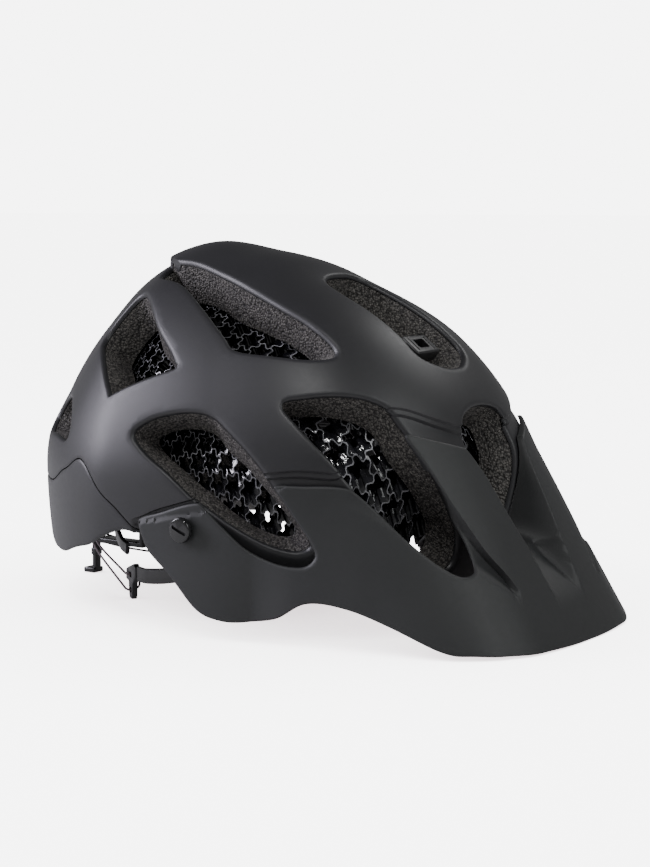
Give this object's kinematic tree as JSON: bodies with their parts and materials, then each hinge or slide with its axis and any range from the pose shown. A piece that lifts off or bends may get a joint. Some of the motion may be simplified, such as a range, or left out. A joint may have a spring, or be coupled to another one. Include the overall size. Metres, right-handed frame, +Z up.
{
  "type": "cycling helmet",
  "caption": "Trail cycling helmet with a tilting visor, vented shell over a foam liner and honeycomb insert, dial-adjusted fit cradle and magnetic chin buckle",
  "frame": {"origin": "on the table under the middle of the helmet as it stands on the visor edge and the rear cradle", "axes": "the wearer looks along -Y and the length of the helmet and visor runs along +Y, the wearer's left is +X, +Z up"},
  "size_m": [0.2164, 0.3156, 0.1824],
  "materials": {
    "shell_black": "fine matt, slight satin at the edges",
    "visor_black": "fine grained matt",
    "foam_grey": "moulded bead foam",
    "cell_black": "glossy, honeycomb of small tubes",
    "nylon_black": "satin moulded nylon",
    "gloss_black": "gloss",
    "pad_black": "brushed knit",
    "webbing_black": "woven webbing",
    "lace_dark": "round braided lace",
    "steel": "bright",
    "rubber_black": "soft touch"
  },
  "bodies": {
    "helmet": {"outer_shell": "shell_black", "lower_rear_shell": "shell_black", "foam_liner": "foam_grey", "cell_insert": "cell_black", "accessory_mount_socket": "nylon_black", "brow_pad": "pad_black", "crown_pad": "pad_black", "rear_pad": "pad_black", "side_pad_right": "pad_black", "side_pad_left": "pad_black", "hanger_socket": "nylon_black", "buckle_socket": "nylon_black", "socket_magnet": "steel", "strap_keeper": "rubber_black", "chin_pad": "pad_black", "visor_socket_right": "nylon_black", "band_anchor_right": "nylon_black", "strap_anchor_front_right": "nylon_black", "strap_anchor_rear_right": "nylon_black", "front_strap_right": "webbing_black", "rear_strap_right": "webbing_black", "strap_divider_right": "nylon_black", "chin_strap_right": "webbing_black", "visor_socket_left": "nylon_black", "band_anchor_left": "nylon_black", "strap_anchor_front_left": "nylon_black", "strap_anchor_rear_left": "nylon_black", "front_strap_left": "webbing_black", "rear_strap_left": "webbing_black", "strap_divider_left": "nylon_black", "chin_strap_left": "webbing_black"},
    "visor": {"visor": "visor_black"},
    "cradle": {"cradle_hanger": "nylon_black", "dial_housing": "nylon_black", "lace_right": "lace_dark", "lace_left": "lace_dark"},
    "dial": {"dial_knob": "rubber_black", "dial_spool": "nylon_black", "dial_screw": "steel"},
    "buckle_half": {"buckle_tongue": "nylon_black", "tongue_magnet": "steel"},
    "visor_screw_right": {"visor_screw_right": "gloss_black"},
    "visor_screw_left": {"visor_screw_left": "gloss_black"},
    "fit_band_right": {"band_arm_right": "nylon_black", "lace_guide_right": "nylon_black"},
    "fit_band_left": {"band_arm_left": "nylon_black", "lace_guide_left": "nylon_black"},
    "cam_lever_right": {"cam_lever_right": "nylon_black"},
    "cam_lever_left": {"cam_lever_left": "nylon_black"}
  },
  "joints": [
    {"name": "visor_tilt", "type": "hinge", "parent": "helmet", "child": "visor", "pos_m": [0, 0.00375, 0.0515], "axis": [-1, 0, 0], "range_deg": [0, 12]},
    {"name": "visor_screw_right_turn", "type": "hinge", "parent": "helmet", "child": "visor_screw_right", "pos_m": [-0.1063, 0.00375, 0.0515], "axis": [-1, 0, 0], "range_deg": [0, 360]},
    {"name": "visor_screw_left_turn", "type": "hinge", "parent": "helmet", "child": "visor_screw_left", "pos_m": [0.1063, 0.00375, 0.0515], "axis": [1, 0, 0], "range_deg": [0, 360]},
    {"name": "cradle_height", "type": "slide", "parent": "helmet", "child": "cradle", "axis": [0, 0, 1], "range_m": [0, 0.008]},
    {"name": "dial_turn", "type": "hinge", "parent": "cradle", "child": "dial", "pos_m": [0, 0.11625, 0.047], "axis": [0, -1, 0], "range_deg": [-180, 240]},
    {"name": "band_right_pull", "type": "slide", "parent": "cradle", "child": "fit_band_right", "axis": [0.5879, 0.8089, 0], "range_m": [-0.0065, 0.0085], "deforming": ["lace_right"]},
    {"name": "band_left_pull", "type": "slide", "parent": "cradle", "child": "fit_band_left", "axis": [-0.5879, 0.8089, 0], "range_m": [-0.0065, 0.0085], "deforming": ["lace_left"]},
    {"name": "cam_lever_right_turn", "type": "hinge", "parent": "helmet", "child": "cam_lever_right", "pos_m": [-0.0364, 0.02475, 0.099], "axis": [0, -1, 0], "range_deg": [0, 75]},
    {"name": "cam_lever_left_turn", "type": "hinge", "parent": "helmet", "child": "cam_lever_left", "pos_m": [0.0364, 0.02475, 0.099], "axis": [0, 1, 0], "range_deg": [0, 75]},
    {"name": "buckle_release", "type": "slide", "parent": "helmet", "child": "buckle_half", "axis": [1, 0, 0], "range_m": [0, 0.012], "deforming": ["chin_strap_left"]}
  ],
  "couplings": [
    {"joint": "band_right_pull", "follows": "dial_turn", "m_per_rad": 0.002},
    {"joint": "band_left_pull", "follows": "dial_turn", "m_per_rad": 0.002}
  ]
}
